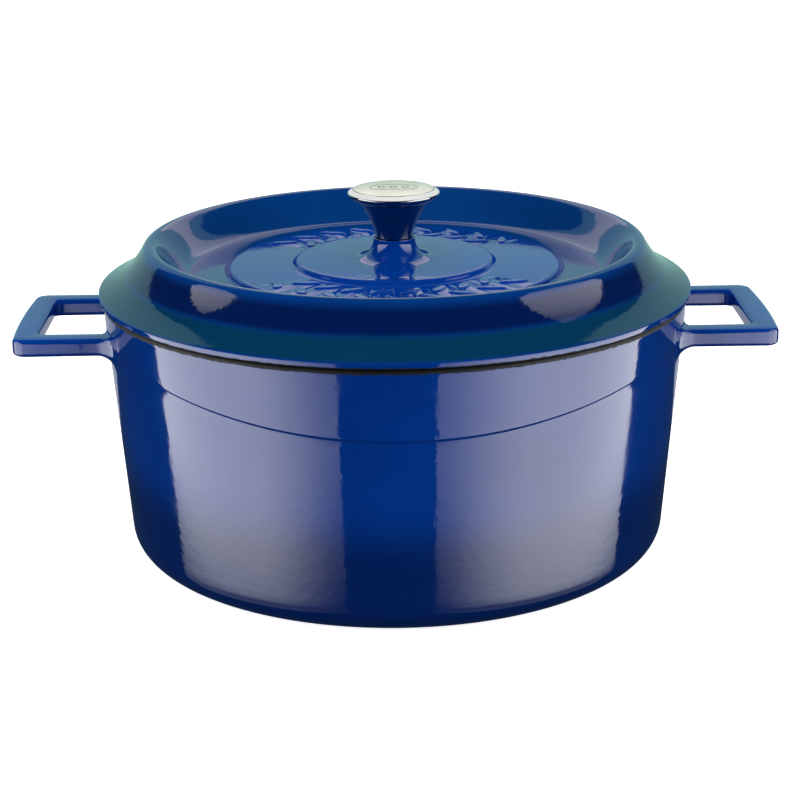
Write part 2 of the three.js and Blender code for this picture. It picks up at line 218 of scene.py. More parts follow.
def smooth(piece, degrees=32):
    """Shades a piece smooth, except along edges sharper than the given angle."""
    piece.data.shade_smooth()
    piece.data.set_sharp_from_angle(angle=math.radians(degrees))


def points_mm(piece):
    """The piece's points as an array in millimetres."""
    values = np.empty(3 * len(piece.data.vertices), dtype=np.float32)
    piece.data.vertices.foreach_get("co", values)
    return values.reshape(-1, 3) / MM


def store(piece, name, values):
    """Keeps one number for each point, which a material can read by name."""
    attribute = piece.data.attributes.new(name, "FLOAT", "POINT")
    attribute.data.foreach_set("value", np.asarray(values, dtype=np.float32))


def fade(values, start, end):
    """Goes smoothly from 0 where a value is at `start` to 1 where it is at `end`."""
    t = np.clip((values - start) / (end - start), 0, 1)
    return t * t * (3 - 2 * t)


print("helpers ready")

# %% [markdown]
# ## The camera
# The oven is seen from a little above, along the Y axis, with a long lens that hardly
# distorts. The camera is made before the pieces, so that any of them can be looked at alone.

# %% Camera
CAMERA_DISTANCE = 1008
CAMERA_HEIGHT = 393
CAMERA_PITCH = 17.68
CAMERA_ORBIT = -0.8
CAMERA_ROLL = 0.66
CAMERA_LENS = 93


def make_camera():
    data = bpy.data.cameras.new("studio_camera")
    data.sensor_width = 36
    data.lens = CAMERA_LENS
    data.shift_x = 0.005
    data.clip_start = 0.05
    data.clip_end = 50
    camera = bpy.data.objects.new("studio_camera", data)
    bpy.context.scene.collection.objects.link(camera)
    orbit = Matrix.Rotation(math.radians(CAMERA_ORBIT), 4, "Z")
    place = Matrix.Translation(Vector((0, -CAMERA_DISTANCE, CAMERA_HEIGHT)) * MM)
    pitch = Matrix.Rotation(math.radians(90 - CAMERA_PITCH), 4, "X")
    roll = Matrix.Rotation(math.radians(-CAMERA_ROLL), 4, "Z")
    camera.matrix_world = orbit @ place @ pitch @ roll
    bpy.context.scene.camera = camera
    return camera


camera = make_camera()
print("camera at", [round(v, 3) for v in camera.matrix_world.translation])

# %% [markdown]
# ## Nodes in materials
# A finish is a small network of nodes. One function adds any node with its settings and
# links, so a material reads as a list of what it is made of. Colours are written as on a
# paint card, in sRGB, and one function turns them to the linear values that Blender mixes.

# %% Helpers for nodes and colours


def linear(code):
    """Turns an sRGB colour such as '#0a3a90' to linear red, green, blue and alpha."""
    levels = []
    for i in (1, 3, 5):
        c = int(code[i : i + 2], 16) / 255
        levels.append(c / 12.92 if c <= 0.04045 else ((c + 0.055) / 1.055) ** 2.4)
    return (*levels, 1)


def add(tree, kind, inputs=None, **settings):
    """Adds a node. Each input takes a value, or another node's output to link from."""
    node = tree.nodes.new(kind)
    for name, value in settings.items():
        setattr(node, name, value)
    for key, value in (inputs or {}).items():
        if isinstance(value, bpy.types.NodeSocket):
            tree.links.new(value, node.inputs[key])
        else:
            node.inputs[key].default_value = value
    return node


def new_material(name):
    material = bpy.data.materials.new(name)
    material.use_nodes = True
    material.node_tree.nodes.clear()
    return material, material.node_tree


def finish_material(tree, inputs, kind="ShaderNodeBsdfPrincipled"):
    """Adds the shader and the output that shows it."""
    shader = add(tree, kind, inputs)
    add(tree, "ShaderNodeOutputMaterial", {"Surface": shader.outputs[0]})


def blend_colours(tree, factor, first, second):
    """Mixes two colours, given as codes or as outputs, by a factor."""
    inputs = {0: factor}
    inputs[6] = linear(first) if isinstance(first, str) else first
    inputs[7] = linear(second) if isinstance(second, str) else second
    node = add(tree, "ShaderNodeMix", inputs, data_type="RGBA")
    return node.outputs[2]


def ramp(tree, value, low, high, to_low=0.0, to_high=1.0, kind="SMOOTHSTEP"):
    """Maps a value between two limits onto two others."""
    inputs = {0: value, 1: low, 2: high, 3: to_low, 4: to_high}
    return add(tree, "ShaderNodeMapRange", inputs, interpolation_type=kind).outputs[0]


def own_number(tree, name):
    """Reads one of the piece's own attributes."""
    return add(tree, "ShaderNodeAttribute", attribute_name=name).outputs["Fac"]


def maths(tree, operation, *values):
    """One step of arithmetic on numbers or outputs."""
    return add(tree, "ShaderNodeMath", dict(enumerate(values)), operation=operation).outputs[0]


def bump(tree, height, depth, strength=1.0, under=None):
    """Relief some millimetres deep, on top of another relief if one is given."""
    inputs = {"Height": height, "Distance": depth * MM, "Strength": strength}
    if under is not None:
        inputs["Normal"] = under
    return add(tree, "ShaderNodeBump", inputs).outputs[0]


def noise(tree, vector, size, detail=2.0, roughness=0.5):
    """Noise whose lumps are about `size` millimetres across."""
    inputs = {"Vector": vector, "Scale": 1 / (size * MM), "Detail": detail, "Roughness": roughness}
    return add(tree, "ShaderNodeTexNoise", inputs).outputs[0]


print("cobalt in linear values:", [round(c, 3) for c in linear("#0a3a90")])

# %% [markdown]
# ## Vitreous enamel
# Enamel is glass: a dip coat fired at about 800 degrees, some 0.3 mm thick. Cobalt oxide
# gives the deep blue. The melt never levels quite flat, and its slow ripple, called orange
# peel, is what frays the edges of every reflection. Painted light tints the faces that look
# up teal, as the greenish light from above would, and painted shade turns the blue navy low
# on the pot and on the lid's flank. Inside and on the rim the coat is matt black, with iron
# grains in it, and the two coats meet in a ragged line where one was wiped from the other.
# Each casting carries three attributes: `black_edge`, the distance in millimetres past the
# line between the coats, and two numbers from 0 to 1 for the painted teal light and the
# painted navy shade.

# %% Enamel material
COBALT = "#003b98"
COBALT_UNEVEN = "#00358d"
# painted shade: the navy the blue turns to low on the pot and on the lid's flank
PAINTED_SHADE_NAVY = "#001850"
# painted light: the teal tint of greenish light from above on the lid's upward faces
PAINTED_TOP_LIGHT_TEAL = "#003455"
BLACK_COAT = "#090a0b"
BLACK_GRAIN = "#131416"
CLOUD_SIZE = 60
DULL_SIZE = 35
GRAIN_SIZE = 0.9
PEEL_SIZE = 4.2
PEEL_HEIGHT = 0.045
RIPPLE_SIZE = 17
RIPPLE_HEIGHT = 0.07
PIT_SIZE = 1.1
PIT_DEPTH = 0.01
EDGE_FRAY = 2.6
EDGE_WANDER = 0.7
EDGE_BLUR = 0.15
GLASS_IOR = 1.5


def make_enamel(name):
    material, tree = new_material(name)
    place = add(tree, "ShaderNodeTexCoord").outputs["Object"]

    # where the black coat begins
    fray = maths(tree, "SUBTRACT", noise(tree, place, EDGE_FRAY, 3.0), 0.5)
    past = maths(tree, "MULTIPLY_ADD", fray, 2 * EDGE_WANDER, own_number(tree, "black_edge"))
    black = ramp(tree, past, -EDGE_BLUR, EDGE_BLUR)

    # the blue of the glass, slightly uneven from the dip, with painted navy shade and painted teal
    # light from above
    uneven = ramp(tree, noise(tree, place, CLOUD_SIZE, 3.0), 0.35, 0.65)
    blue = blend_colours(tree, uneven, COBALT_UNEVEN, COBALT)
    deep = blend_colours(tree, own_number(tree, "painted_shade"), blue, PAINTED_SHADE_NAVY)
    blue_with_painted_light = blend_colours(tree, own_number(tree, "painted_top_light"), deep, PAINTED_TOP_LIGHT_TEAL)
    grain = ramp(tree, noise(tree, place, GRAIN_SIZE, 2.0), 0.45, 0.7)
    iron = blend_colours(tree, grain, BLACK_COAT, BLACK_GRAIN)
    colour = blend_colours(tree, black, blue_with_painted_light, iron)

    # a hard gloss on the blue with faint dull clouds, and a matt, weaker one on the black
    dull = ramp(tree, noise(tree, place, DULL_SIZE, 4.0), 0.3, 0.75, 0.045, 0.1)
    matt = ramp(tree, grain, 0.0, 1.0, 0.55, 0.75)
    roughness = add(tree, "ShaderNodeMix", {0: black, 2: dull, 3: matt}).outputs[0]
    shine = ramp(tree, black, 0.0, 1.0, 0.5, 0.22)

    # ripple, orange peel and a few pits
    ripple = bump(tree, noise(tree, place, RIPPLE_SIZE, 1.0), RIPPLE_HEIGHT)
    peel = bump(tree, noise(tree, place, PEEL_SIZE, 2.0, 0.45), PEEL_HEIGHT, under=ripple)
    pits = ramp(tree, noise(tree, place, PIT_SIZE, 1.0), 0.72, 0.8, 1.0, 0.0)
    pitted = bump(tree, pits, PIT_DEPTH, 0.6, peel)
    inputs = {
        "Base Color": colour,
        "Roughness": roughness,
        "IOR": GLASS_IOR,
        "Specular IOR Level": shine,
        "Normal": pitted,
    }
    finish_material(tree, inputs)
    return material


enamel = make_enamel("cobalt_and_black_vitreous_enamel")
print("made", enamel.name)

# %% [markdown]
# ## The pot
# The pot is one casting: a floor, a wall that leans outwards so that it leaves the sand
# mould, a rim, and two loop handles. The upper wall stands a little proud of the lower one,
# down to a step that hangs like a swag from handle to handle. A revolved grid can follow
# that step exactly if its rows are spread anew at each angle, so the section is a function
# of the angle and not a fixed list.

# %% Pot: sizes
WALL_LEAN = 0.08
WALL = 3.6
FLOOR = 4.4
RIM_ROUND = 2.2
RIM_LAND = 5
FOOT_RADIUS = 15
SWAG_DEPTH = 34.5
SWAG_RISE = 20
SWAG_STEP = 0.7
SWAG_FACET = 1.7
FOOT_RING_WIDTH = 13
FOOT_RECESS = 0.8
POT_SEGMENTS = 288

shoulder = rim_height - RIM_ROUND
wall_angle = math.degrees(math.atan(WALL_LEAN))


def wall_radius(height):
    return rim_radius - WALL_LEAN * (shoulder - height)


def swag_height(angle):
    return rim_height - SWAG_DEPTH + SWAG_RISE * math.cos(angle) ** 2


def proud(height):
    """How far the upper wall stands out from the lower one at a height."""
    return SWAG_STEP * (shoulder - height) / (SWAG_DEPTH - RIM_ROUND)


def outside_radius(angle, height):
    line = swag_height(angle)
    step = proud(line)
    facet = SWAG_FACET * step / SWAG_STEP
    t = min(max((height - line) / facet + 0.5, 0), 1)
    return wall_radius(height) + proud(height) * t * t * (3 - 2 * t)


# %% Pot: the outside, as if it were solid iron
foot_centre = wall_radius(FOOT_RADIUS) - FOOT_RADIUS / math.cos(math.radians(wall_angle))
foot_top = FOOT_RADIUS - FOOT_RADIUS * math.sin(math.radians(wall_angle))


def pot_section(angle):
    recess = foot_centre - FOOT_RING_WIDTH
    step_in = (recess - 2, FOOT_RECESS, 1.5)
    base = soften([(0, FOOT_RECESS), step_in, (recess, 0, 1), (foot_centre, 0)], 4)
    foot = along_arc((foot_centre, FOOT_RADIUS), FOOT_RADIUS, -90, -wall_angle, 14)
    line = swag_height(angle)
    facet = SWAG_FACET * proud(line) / SWAG_STEP
    lower = [foot_top + (line - facet / 2 - foot_top) * i / 22 for i in range(1, 22)]
    step = [line + facet * (i / 10 - 0.5) for i in range(11)]
    upper = [line + facet / 2 + (shoulder - line - facet / 2) * i / 12 for i in range(1, 12)]
    wall = [(outside_radius(angle, h), h) for h in lower + step + upper]
    rim = along_arc((rim_radius - RIM_ROUND, shoulder), RIM_ROUND, 0, 90, 8)
    return base[:-1] + foot + wall + rim + [(0, rim_height)]


pot = turn("pot_casting", pot_section, POT_SEGMENTS)
print("pot outside:", len(pot.data.vertices), "points")

# %% Pot: the space inside
rim_inner = rim_radius - RIM_LAND
foot_inner = wall_radius(FOOT_RADIUS) - WALL
RIM_INNER_ROUND = 1.4


def pot_space():
    past = 6
    arc = FOOT_RADIUS - WALL
    floor_corner = along_arc((foot_inner - arc, FLOOR + arc), arc, -90, 0, 12)
    lip_centre = (rim_inner + RIM_INNER_ROUND, rim_height - RIM_INNER_ROUND)
    lip = along_arc(lip_centre, RIM_INNER_ROUND, 180, 90, 6)
    top = [(rim_inner + RIM_INNER_ROUND, rim_height + past), (0, rim_height + past)]
    return turn("pot_space", [(0, FLOOR)] + floor_corner + lip + top, POT_SEGMENTS)


inside = pot_space()
print("inside:", round(2 * rim_inner, 1), "mm across at the rim")

# %% [markdown]
# ## The loop handles
# Each handle is a flat bar with soft edges, bent to a rectangle. It is lofted: one rounded
# section is carried along the loop, from inside the wall, out along one arm, round two
# corners and back. At the wall the section grows by a fillet, so the iron flows into the
# pot without a seam. Blender's Manifold boolean then makes one skin of pot and handles.

# %% Handle: sizes
HANDLE_DROP = 13.2
HANDLE_THICK = 8.8
HANDLE_HALF_WIDTH = 44
HANDLE_BULGE = 1.44
BAR_WIDTH = 11.5
ARM_WIDTH = 12
HANDLE_CORNER = 6
GRIP_CORNER = 3.5
HANDLE_EDGE = 2.3
FILLET_BELOW = 8
FILLET_ABOVE = 3.5
FILLET_OUTER = 8
FILLET_GRIP = 4
SUNK = 1.6

handle_middle = rim_height - HANDLE_DROP - HANDLE_THICK / 2
corner_reach = handle_reach - HANDLE_BULGE


def bar_section(half_width, half_height, edge, steps=5):
    """Points and directions round a flat bar with rounded edges."""
    section = []
    for quarter in range(4):
        for i in range(steps + 1):
            angle = math.pi / 2 * (quarter + i / steps)
            across, up = math.cos(angle), math.sin(angle)
            side = 1 if quarter in (0, 3) else -1
            level = 1 if quarter in (0, 1) else -1
            x = side * (half_width - edge) + edge * across
            y = level * (half_height - edge) + edge * up
            section.append((x, y, across, up))
    return section


# %% Handle: the root, which spreads into the wall


def wall_x(y, z):
    """Where the pot's outside is, at a place beside the X axis."""
    angle = math.asin(y / wall_radius(z))
    return math.sqrt(outside_radius(angle, z) ** 2 - y * y)


def root_rings():
    """Rings of points from inside the wall to where the fillet ends, for the arm at -Y."""
    arm_y = HANDLE_HALF_WIDTH - ARM_WIDTH / 2
    section = bar_section(ARM_WIDTH / 2, HANDLE_THICK / 2, HANDLE_EDGE)
    rings = []
    for i in range(-1, 11):
        turned = math.radians(9 * max(i, 0))
        ring = []
        for across, up, out_across, out_up in section:
            side = FILLET_OUTER if out_across > 0 else FILLET_GRIP
            level = FILLET_ABOVE if out_up > 0 else FILLET_BELOW
            fillet = side * out_across**2 + level * out_up**2
            spread = fillet * (1 - math.sin(turned))
            y = -(arm_y + across + spread * out_across)
            z = handle_middle + up + spread * out_up
            x = wall_x(y, z) + fillet * (1 - math.cos(turned)) - 0.05
            ring.append((x - SUNK if i < 0 else x, y, z))
        rings.append(ring)
    return rings


# %% Handle: the arm, the corner and half of the grip bar


def station(outer, inner):
    """One ring of points between an outer and an inner point of the loop."""
    outer, inner = Vector(outer), Vector(inner)
    middle = (outer + inner) / 2
    across = (outer - inner).normalized()
    half = (outer - inner).length / 2
    ring = []
    for offset, up, _, _ in bar_section(half, HANDLE_THICK / 2, HANDLE_EDGE):
        spot = middle + across * offset
        ring.append((spot.x, spot.y, handle_middle + up))
    return ring


def half_loop():
    rings = root_rings()
    grip_reach = corner_reach - BAR_WIDTH
    grip_half = HANDLE_HALF_WIDTH - ARM_WIDTH
    outer_turn = (corner_reach - HANDLE_CORNER, HANDLE_CORNER - HANDLE_HALF_WIDTH)
    inner_turn = (grip_reach - GRIP_CORNER, GRIP_CORNER - grip_half)
    outers = along_arc(outer_turn, HANDLE_CORNER, -90, 0, 10)
    inners = along_arc(inner_turn, GRIP_CORNER, -90, 0, 10)
    corner = [station(outer, inner) for outer, inner in zip(outers, inners)]
    for i in range(1, 6):
        t = i / 6
        pair = zip(rings[11], corner[0])
        rings.append([tuple(a + (b - a) * t for a, b in zip(root, bend)) for root, bend in pair])
    rings += corner
    for i in range(1, 11):
        t = i / 10
        outer_y = outer_turn[1] * (1 - t)
        bulge = HANDLE_BULGE * (1 - (outer_y / outer_turn[1]) ** 2)
        rings.append(station((corner_reach + bulge, outer_y), (grip_reach, inner_turn[1] * (1 - t))))
    return rings


def make_handle(side):
    near = half_loop()
    far = [[(x, -y, z) for x, y, z in ring] for ring in reversed(near[:-1])]
    rings = [[(side * x, side * y, z) for x, y, z in ring] for ring in near + far]
    return loft("handle", rings)


for side in (1, -1):
    combine(pot, make_handle(side), "UNION")
combine(pot, inside, "DIFFERENCE")
print("pot casting:", len(pot.data.polygons), "faces")

# %% [markdown]
# ## Where the pot's coats meet
# The black coat covers the inside, the rim and the foot ring, where the pot stood in the
# kiln. The distance past each line is worked out from the point's own place.

# %% Pot: coats
RIM_BLACK = 2.6
BASE_BLACK = -4
FAR_PAST = 5
# painted shade: the blue turns navy from 65 mm down to 35 mm, where the lower wall gets less light
PAINTED_SHADE_BELOW = 35
PAINTED_SHADE_FADES = 65
POT_PAINTED_SHADE = 0.73


def outer_reach(height):
    """The radius of the pot's outside at each height, the rounded foot included."""
    rise = np.clip(FOOT_RADIUS - height, 0, FOOT_RADIUS)
    foot = foot_centre + np.sqrt(FOOT_RADIUS**2 - rise**2)
    return np.where(height < foot_top, foot, wall_radius(height))


def coat_pot():
    """Stores how far each point is past the edge of the black coat, and painted shade low on the blue
    wall.
    """
    spots = points_mm(pot)
    radius = np.hypot(spots[:, 0], spots[:, 1])
    height = spots[:, 2]
    rim_line = height - (rim_height - RIM_BLACK)
    base_line = foot_centre + BASE_BLACK - radius - 3 * height
    inner_wall = (radius < outer_reach(height) - WALL / 2) & (height > FLOOR / 2)
    beyond = np.maximum(rim_line, base_line)
    beyond = np.where(radius > rim_radius + 1, -FAR_PAST, beyond)
    beyond = np.clip(beyond, -FAR_PAST, FAR_PAST)
    store(pot, "black_edge", np.where(inner_wall, FAR_PAST, beyond))
    # no painted light on the pot, and painted shade that darkens the blue towards the foot
    store(pot, "painted_top_light", np.zeros(len(spots)))
    store(pot, "painted_shade", POT_PAINTED_SHADE * fade(height, PAINTED_SHADE_FADES, PAINTED_SHADE_BELOW))


coat_pot()
smooth(pot)
pot.data.materials.clear()
pot.data.materials.append(enamel)
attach(pot, "pot")
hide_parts("pot")
print("pot coated")

# %% [markdown]
# ## The lid
# The lid's section carries its whole design: an upright edge, a flange that sweeps up to a
# round crest, a basin, then a platform and a plateau in two low steps, and a boss with a
# flared foot. Below it has a locating ring and a hollow for the screw. One closed section
# with a hole at the axis is turned once.

# %% Lid: sizes
EDGE_HEIGHT = 2.8
CREST_INSET = 26.2
CREST_ROUND = 4.2
BASIN_WALL = 20
BASIN_HEIGHT = 9.2
BASIN_WIDTH = 18.9
PLATFORM_STEP = 2.9
PLATFORM_WIDTH = 33.4
PLATEAU_STEP = 2.6
LID_WALL = 3.6
RING_CLEARANCE = 1.2
RING_DEPTH = 6
RING_WIDTH = 3
BOSS_FLARE = 11.5
BOSS_LIP = 0.8
SOCKET_CLEARANCE = 0.6
SOCKET_DEPTH = 1.2
POCKET_RADIUS = 10
SCREW_CLEARANCE = 0.4
FIT_GAP = 0.3
SCREW_RADIUS = 3
KNOB_FOOT_RADIUS = 9
BOSS_HEIGHT = 10.4
LID_SEGMENTS = 256

seat = lid_low.z + RING_DEPTH
crest_top = lid_high.z
crest_radius = lid_radius - CREST_INSET
crest_centre = crest_top - CREST_ROUND
basin_floor = seat + BASIN_HEIGHT
basin_radius = crest_radius - BASIN_WALL
platform_top = basin_floor + PLATFORM_STEP
platform_radius = basin_radius - BASIN_WIDTH
plateau_top = platform_top + PLATEAU_STEP
plateau_radius = platform_radius - PLATFORM_WIDTH
boss_top = plateau_top + BOSS_HEIGHT
socket_radius = KNOB_FOOT_RADIUS + SOCKET_CLEARANCE
boss_radius = socket_radius + BOSS_LIP
bore_radius = SCREW_RADIUS + SCREW_CLEARANCE
pocket_roof = washer_high.z + FIT_GAP
print(f"crest at {crest_top:.1f}, plateau at {plateau_top:.1f}, boss at {boss_top:.1f}")

# %% Lid: section


def lid_top_side():
    """From the lid's seat over the edge, flange, crest and basin to the boss."""
    edge_top = seat + EDGE_HEIGHT
    upright_top = (lid_radius, edge_top - 0.6)
    edge = soften([(lid_radius - 3, seat), (lid_radius, seat, 0.9), upright_top], 4)
    brim = (lid_radius - 2, edge_top + 0.95)
    flange = soften([upright_top, (lid_radius, edge_top, 0.6), brim], 4)
    crest = along_arc((crest_radius, crest_centre), CREST_ROUND, 36, 135, 14)
    rise = crest_top - seat
    flank = along_curve(
        flange[-1],
        (lid_radius - CREST_INSET * 0.45, edge_top + rise * 0.22),
        (crest_radius + CREST_INSET * 0.38, crest_centre - rise * 0.36),
        crest[0],
        26,
    )
    width = BASIN_WALL - CREST_ROUND
    bowl = along_curve(
        crest[-1],
        (crest[-1][0] - width * 0.45, crest[-1][1] - rise * 0.3),
        (basin_radius + width * 0.4, basin_floor),
        (basin_radius, basin_floor),
        22,
    )
    steps = soften(
        [
            (basin_radius, basin_floor),
            (platform_radius + 1.6, basin_floor, 1.8),
            (platform_radius, platform_top, 1.5),
            (plateau_radius + 1.5, platform_top, 1.6),
            (plateau_radius, plateau_top, 1.4),
            (boss_radius + BOSS_FLARE, plateau_top),
        ],
        6,
    )
    lip_foot = (boss_radius, boss_top - 0.9)
    flare = along_curve(
        steps[-1],
        (boss_radius + BOSS_FLARE * 0.36, plateau_top),
        (boss_radius + 0.4, plateau_top + BOSS_HEIGHT * 0.35),
        lip_foot,
        16,
    )
    lip = soften(
        [
            lip_foot,
            (boss_radius, boss_top, 0.45),
            (socket_radius, boss_top, 0.35),
            (socket_radius, boss_top - SOCKET_DEPTH),
            (bore_radius, boss_top - SOCKET_DEPTH),
        ],
        4,
    )
    return edge + flange[1:] + flank + crest + bowl + steps + flare + lip


def lid_under_side():
    """From the bore back out along the underside to the seat."""
    hub = plateau_top - LID_WALL
    pan = basin_floor - LID_WALL
    web = platform_top - LID_WALL
    ring_outer = rim_inner - RING_CLEARANCE
    ring_inner = ring_outer - RING_WIDTH
    return soften(
        [
            (bore_radius, pocket_roof),
            (POCKET_RADIUS, pocket_roof, 1),
            (POCKET_RADIUS, hub, 1.5),
            (plateau_radius - LID_WALL, hub, 2.5),
            (plateau_radius, web, 2.5),
            (platform_radius - LID_WALL, web, 2.5),
            (platform_radius, pan, 2.5),
            (basin_radius, pan, 8),
            (crest_radius - CREST_ROUND, crest_centre - LID_WALL, 6),
            (crest_radius, crest_top - LID_WALL, 3),
            (crest_radius + CREST_ROUND, crest_centre - LID_WALL, 4),
            (ring_inner, seat + EDGE_HEIGHT, 3),
            (ring_inner, seat - RING_DEPTH, 1),
            (ring_outer, seat - RING_DEPTH, 1),
            (ring_outer, seat, 0.6),
            (lid_radius - 3, seat),
        ],
        6,
    )


under_side = lid_under_side()
lid = turn("lid_casting", under_side[:-1] + lid_top_side(), LID_SEGMENTS, closed=True)
print("lid:", len(lid.data.polygons), "faces")

# %% [markdown]
# ## Leaves and drip studs
# Two garlands of raised leaves lie on the platform, one in front and one behind. Below, rings
# of studs gather steam so that it drips evenly. Both repeat by a rule, so each comes from a
# small Geometry Nodes tree: points on a circle, a shape copied to each point, then Realize
# Instances and Set Material. The result becomes a plain mesh and is joined to the lid,
# because on the real lid they are one casting with it.

# %% A tree of copies round the axis


def copies_round_axis(name, shape, groups, material):
    """Copies a shape about Z. Each group has a name and a row of sizes for its inputs."""
    tree = bpy.data.node_groups.new(name, "GeometryNodeTree")
    tree.interface.new_socket("Geometry", in_out="OUTPUT", socket_type="NodeSocketGeometry")
    values = {}
    for group in groups:
        for key, value in group.items():
            kind = "NodeSocketInt" if isinstance(value, int) else "NodeSocketFloat"
            socket = tree.interface.new_socket(key, in_out="INPUT", socket_type=kind)
            values[socket.identifier] = value
    sizes = add(tree, "NodeGroupInput")
    source = add(tree, "GeometryNodeObjectInfo", {"Object": shape, "As Instance": True})
    joined = add(tree, "GeometryNodeJoinGeometry")
    for group in groups:
        count, first, step, radius, height, facing = [sizes.outputs[key] for key in group]
        line = add(tree, "GeometryNodeMeshLine", {"Count": count})
        index = add(tree, "GeometryNodeInputIndex").outputs[0]
        along = maths(tree, "MULTIPLY_ADD", index, step, first)
        x = maths(tree, "MULTIPLY", maths(tree, "COSINE", along), radius)
        y = maths(tree, "MULTIPLY", maths(tree, "SINE", along), radius)
        spot = add(tree, "ShaderNodeCombineXYZ", {0: x, 1: y, 2: height}).outputs[0]
        placed = {"Geometry": line.outputs[0], "Position": spot}
        spread = add(tree, "GeometryNodeSetPosition", placed)
        heading = add(tree, "ShaderNodeCombineXYZ", {2: maths(tree, "ADD", along, facing)}).outputs[0]
        parts = {"Points": spread.outputs[0], "Instance": source.outputs["Geometry"]}
        parts["Rotation"] = heading
        copies = add(tree, "GeometryNodeInstanceOnPoints", parts)
        tree.links.new(copies.outputs[0], joined.inputs[0])
    real = add(tree, "GeometryNodeRealizeInstances", {0: joined.outputs[0]})
    coat = {"Geometry": real.outputs[0], "Material": material}
    coated = add(tree, "GeometryNodeSetMaterial", coat)
    add(tree, "NodeGroupOutput", {0: coated.outputs[0]})

    piece = mesh_object(name, [(0, 0, 0)], [])
    modifier = piece.modifiers.new("copies", "NODES")
    modifier.node_group = tree
    for identifier, value in values.items():
        modifier[identifier] = value
    plain_mesh(piece)
    bpy.data.objects.remove(shape)
    return piece


def circle_of_copies(label, count, first, step, radius, height, facing):
    """One group: how many copies, their angles, and where their circle is in millimetres."""
    names = ("count", "first angle", "angle step", "radius", "height", "facing")
    values = (count, first, step, radius * MM, height * MM, facing)
    return {f"{label} {name}": value for name, value in zip(names, values)}


# %% Leaves
LEAF_LENGTH = 15
LEAF_WIDTH = 6.5
LEAF_HEIGHT = 1.1
LEAF_OFFSET = 6
LEAF_TILT = 0.75
LEAF_PITCH = 7.5
GARLAND_ANGLE = 1.95
LEAF_SINK = 0.8


def leaf_point(s, w):
    """A point on the leaf, from -1 to 1 along it and -1 to 1 across it."""
    half = LEAF_WIDTH / 2 * (1 - s * s) ** 0.7
    dome = (1 - w**4) ** 1.5 * (1 - s**6)
    return (s * LEAF_LENGTH / 2, w * half, LEAF_HEIGHT * dome - 0.02)


def make_leaf():
    rings = []
    for i in range(1, 20):
        s = -math.cos(math.pi * i / 20)
        top = [leaf_point(s, -math.cos(math.pi * k / 12)) for k in range(13)]
        under = [(x, y, -LEAF_SINK) for x, y, z in (top[-1], top[0])]
        rings.append(top + under)
    return loft("leaf", rings)


def make_garlands():
    middle = platform_radius - PLATFORM_WIDTH / 2
    step = LEAF_PITCH / middle
    count = int(GARLAND_ANGLE / step)
    groups = []
    for place, centre in (("front", -math.pi / 2), ("back", math.pi / 2)):
        for row, way in (("outer", 1), ("inner", -1)):
            shift = 0 if way > 0 else 1
            groups.append(
                circle_of_copies(
                    f"{place} {row}",
                    (count + way) // 2 if count % 2 else count // 2,
                    centre + (shift - (count - 1) / 2) * step,
                    2 * step,
                    middle + way * LEAF_OFFSET,
                    platform_top,
                    math.pi / 2 - way * LEAF_TILT,
                )
            )
    return copies_round_axis("garlands", make_leaf(), groups, enamel)


garlands = make_garlands()
print("garlands:", len(garlands.data.polygons), "faces")

# %% Drip studs
STUD_RADIUS = 3.2
STUD_HEIGHT = 3
STUD_SINK = 1.6
STUD_PITCH = 27
STUD_RING_SPACING = 21


def make_stud():
    root = [(0, STUD_SINK), (STUD_RADIUS + 1, STUD_SINK), (STUD_RADIUS, 0, 1.2)]
    tip = [(STUD_RADIUS / 2, -STUD_HEIGHT, 0.9), (0, -STUD_HEIGHT)]
    return turn("stud", soften(root + tip, 3), 16)


def make_studs():
    groups = []
    ring = POCKET_RADIUS + STUD_RING_SPACING
    while ring < basin_radius - STUD_RING_SPACING / 2:
        count = round(2 * math.pi * ring / STUD_PITCH)
        half_step = math.pi / count
        under = (platform_top if ring > plateau_radius else plateau_top) - LID_WALL
        groups.append(
            circle_of_copies(f"ring {ring}", count, half_step, 2 * half_step, ring, under, 0.0)
        )
        ring += STUD_RING_SPACING
    return copies_round_axis("studs", make_stud(), groups, enamel)


studs = make_studs()
print("studs:", len(studs.data.polygons), "faces")
combine(lid, garlands, "UNION")
combine(lid, studs, "UNION")
print("lid casting:", len(lid.data.polygons), "faces")

# %% Lid: coats
SEAT_BLACK = 0.7
# painted light: a teal tint on the flange and crest, which face up to the light from above
FLANGE_INNER = 134
FLANGE_BLUR = 1.5
CREST_PAINTED_LIGHT = 0.55


def coat_lid():
    """Stores the black coat below, painted teal light on the flange and crest, and painted navy shade
    on the flank.
    """
    spots = points_mm(lid)
    radius = np.hypot(spots[:, 0], spots[:, 1])
    height = spots[:, 2]
    section = sorted(under_side)
    ceiling = np.interp(radius, [p[0] for p in section], [p[1] for p in section])
    below = (height < ceiling + 0.8) & (radius < rim_inner)
    edge = np.where(below, FAR_PAST, seat + SEAT_BLACK - height)
    store(lid, "black_edge", np.clip(edge, -FAR_PAST, FAR_PAST))
    # painted light and painted shade: teal where the lid faces up, navy on its flank
    above_edge = fade(height, seat + EDGE_HEIGHT - 0.2, seat + EDGE_HEIGHT + 0.6)
    flange = fade(radius, FLANGE_INNER - FLANGE_BLUR, FLANGE_INNER + FLANGE_BLUR) * above_edge
    crest = fade(radius, crest_radius + 6, crest_radius + 1)
    crest = crest * fade(radius, platform_radius, platform_radius + 4)
    flank = fade(radius, crest_radius + 2.5, crest_radius + 5.5) * (1 - flange) * above_edge
    store(lid, "painted_top_light", np.maximum(flange, CREST_PAINTED_LIGHT * crest))
    store(lid, "painted_shade", flank)


coat_lid()
smooth(lid)
lid.data.materials.clear()
lid.data.materials.append(enamel)
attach(lid, "lid")
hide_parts("lid")
print("lid coated")

